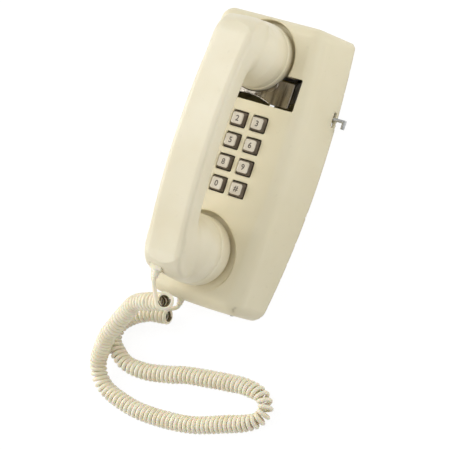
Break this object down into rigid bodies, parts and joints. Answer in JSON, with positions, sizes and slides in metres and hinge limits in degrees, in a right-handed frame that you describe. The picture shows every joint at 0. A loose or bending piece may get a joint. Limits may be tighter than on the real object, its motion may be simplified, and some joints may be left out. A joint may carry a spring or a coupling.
{
  "type": "wall telephone",
  "caption": "Upright wall telephone: arched handset over a push-button keypad, hook saddle, curly cord and keyhole wall plate.",
  "frame": {"origin": "midway between the two wall keyholes, on the back face", "axes": "+X to the telephone's right seen from the front, +Y up the wall towards the receiver end, +Z out of the front; it lies on its back"},
  "size_m": [0.1596, 0.3193, 0.0985],
  "materials": {
    "ivory_shell": "semi-gloss moulded",
    "ivory_cord": "satin flexible vinyl",
    "key_plastic": "satin moulded",
    "clear_plastic": "clear moulded",
    "dark_plastic": "matt moulded",
    "board": "laminate",
    "mat_rubber": "matt",
    "capacitor_case": "matt",
    "plated_steel": "zinc plated",
    "hook_chrome": "bright plated",
    "core_steel": "matt",
    "coil_wire": "varnished windings",
    "gong_brass": "satin"
  },
  "bodies": {
    "chassis": {"base_plate": "plated_steel", "housing_cover": "ivory_shell", "cover_screws": "plated_steel", "keypad_frame": "dark_plastic", "keypad_board": "board", "contact_mat": "mat_rubber", "keypad_screws": "plated_steel", "network_board": "board", "board_standoffs": "plated_steel", "line_transformer": "core_steel", "network_capacitors": "capacitor_case", "wall_plug": "clear_plastic", "cord_jack": "dark_plastic", "hook_bracket": "plated_steel", "hook_pin": "plated_steel", "hook_switch": "dark_plastic", "ringer_frame": "plated_steel", "ringer_coils": "coil_wire", "gong_left": "gong_brass", "gong_right": "gong_brass", "gong_screws": "plated_steel", "lever_rivet": "plated_steel", "base_plug": "clear_plastic", "curly_cord": "ivory_cord"},
    "handset": {"handset_shell": "ivory_shell", "ear_cap": "ivory_shell", "mouth_cap": "ivory_shell", "receiver_capsule": "plated_steel", "transmitter_capsule": "plated_steel", "transmitter_cup": "dark_plastic", "handset_jack": "dark_plastic", "handset_plug": "clear_plastic"},
    "saddle": {"hook_saddle": "hook_chrome"},
    "clapper_arm": {"clapper": "gong_brass"},
    "volume_lever": {"loudness_lever": "plated_steel"},
    "key_1_cap": {"key_1": "key_plastic"},
    "key_2_cap": {"key_2": "key_plastic"},
    "key_3_cap": {"key_3": "key_plastic"},
    "key_4_cap": {"key_4": "key_plastic"},
    "key_5_cap": {"key_5": "key_plastic"},
    "key_6_cap": {"key_6": "key_plastic"},
    "key_7_cap": {"key_7": "key_plastic"},
    "key_8_cap": {"key_8": "key_plastic"},
    "key_9_cap": {"key_9": "key_plastic"},
    "key_star_cap": {"key_star": "key_plastic"},
    "key_0_cap": {"key_0": "key_plastic"},
    "key_hash_cap": {"key_hash": "key_plastic"}
  },
  "joints": [
    {"name": "handset_lift", "type": "slide", "parent": "chassis", "child": "handset", "axis": [0, 0.2588, 0.9659], "range_m": [0, 0.045]},
    {"name": "saddle_swing", "type": "hinge", "parent": "chassis", "child": "saddle", "pos_m": [0, 0.076, 0.014], "axis": [-1, 0, 0], "range_deg": [0, 7]},
    {"name": "clapper_swing", "type": "hinge", "parent": "chassis", "child": "clapper_arm", "pos_m": [0, -0.052, 0.009], "axis": [0, 0, 1], "range_deg": [-3.5, 3.5], "stiffness_Nm_per_rad": 0.002},
    {"name": "volume_turn", "type": "hinge", "parent": "chassis", "child": "volume_lever", "pos_m": [0.04, 0.0515, 0.004], "axis": [0, 0, 1], "range_deg": [-12, 12]},
    {"name": "key_1_press", "type": "slide", "parent": "chassis", "child": "key_1_cap", "axis": [0, 0, -1], "range_m": [0, 0.0028], "stiffness_N_per_m": 220, "springref_m": -0.001},
    {"name": "key_2_press", "type": "slide", "parent": "chassis", "child": "key_2_cap", "axis": [0, 0, -1], "range_m": [0, 0.0028], "stiffness_N_per_m": 220, "springref_m": -0.001},
    {"name": "key_3_press", "type": "slide", "parent": "chassis", "child": "key_3_cap", "axis": [0, 0, -1], "range_m": [0, 0.0028], "stiffness_N_per_m": 220, "springref_m": -0.001},
    {"name": "key_4_press", "type": "slide", "parent": "chassis", "child": "key_4_cap", "axis": [0, 0, -1], "range_m": [0, 0.0028], "stiffness_N_per_m": 220, "springref_m": -0.001},
    {"name": "key_5_press", "type": "slide", "parent": "chassis", "child": "key_5_cap", "axis": [0, 0, -1], "range_m": [0, 0.0028], "stiffness_N_per_m": 220, "springref_m": -0.001},
    {"name": "key_6_press", "type": "slide", "parent": "chassis", "child": "key_6_cap", "axis": [0, 0, -1], "range_m": [0, 0.0028], "stiffness_N_per_m": 220, "springref_m": -0.001},
    {"name": "key_7_press", "type": "slide", "parent": "chassis", "child": "key_7_cap", "axis": [0, 0, -1], "range_m": [0, 0.0028], "stiffness_N_per_m": 220, "springref_m": -0.001},
    {"name": "key_8_press", "type": "slide", "parent": "chassis", "child": "key_8_cap", "axis": [0, 0, -1], "range_m": [0, 0.0028], "stiffness_N_per_m": 220, "springref_m": -0.001},
    {"name": "key_9_press", "type": "slide", "parent": "chassis", "child": "key_9_cap", "axis": [0, 0, -1], "range_m": [0, 0.0028], "stiffness_N_per_m": 220, "springref_m": -0.001},
    {"name": "key_star_press", "type": "slide", "parent": "chassis", "child": "key_star_cap", "axis": [0, 0, -1], "range_m": [0, 0.0028], "stiffness_N_per_m": 220, "springref_m": -0.001},
    {"name": "key_0_press", "type": "slide", "parent": "chassis", "child": "key_0_cap", "axis": [0, 0, -1], "range_m": [0, 0.0028], "stiffness_N_per_m": 220, "springref_m": -0.001},
    {"name": "key_hash_press", "type": "slide", "parent": "chassis", "child": "key_hash_cap", "axis": [0, 0, -1], "range_m": [0, 0.0028], "stiffness_N_per_m": 220, "springref_m": -0.001}
  ],
  "couplings": [
    {"joint": "saddle_swing", "follows": "handset_lift", "rad_per_m": 2.7}
  ]
}
